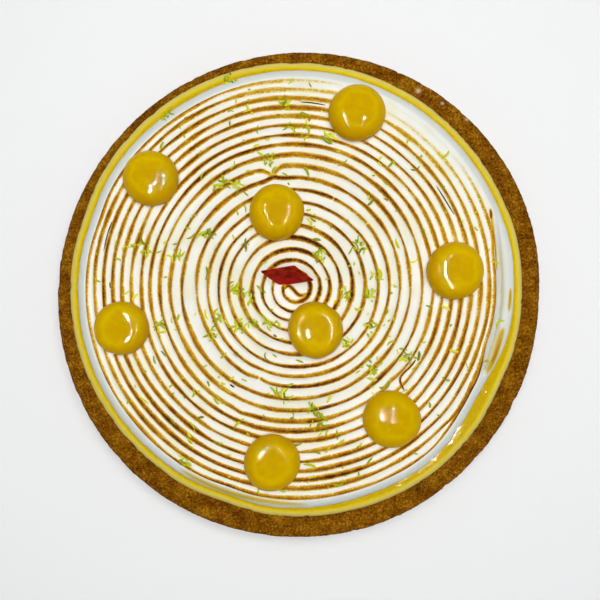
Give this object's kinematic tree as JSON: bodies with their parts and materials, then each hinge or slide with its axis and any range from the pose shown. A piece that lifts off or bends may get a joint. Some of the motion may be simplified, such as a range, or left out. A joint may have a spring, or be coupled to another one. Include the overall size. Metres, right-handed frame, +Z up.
{
  "type": "lemon meringue tart",
  "caption": "Round shortcrust tart of lemon curd under a torched spiral of meringue, topped with glossy lemon gel domes, lime zest and a red plaque.",
  "frame": {"origin": "middle of the underside of the pastry case", "axes": "+Z up through the tart, +X to the right and +Y away from the viewer as the picture shows it from above"},
  "size_m": [0.2394, 0.241, 0.0502],
  "materials": {
    "pastry": "baked caramel-brown shortcrust, matt and crumbly",
    "curd": "smooth glossy lemon curd",
    "meringue": "satin white meringue with torched brown crests",
    "lemon_gel": "wet translucent lemon gel",
    "red_plaque": "thin glossy red decoration"
  },
  "bodies": {
    "root": {"crust": "pastry", "curd": "curd", "meringue": "meringue", "dome_1": "lemon_gel", "dome_2": "lemon_gel", "dome_3": "lemon_gel", "dome_4": "lemon_gel", "dome_5": "lemon_gel", "dome_6": "lemon_gel", "dome_7": "lemon_gel", "dome_8": "lemon_gel", "plaque": "red_plaque"}
  },
  "joints": []
}
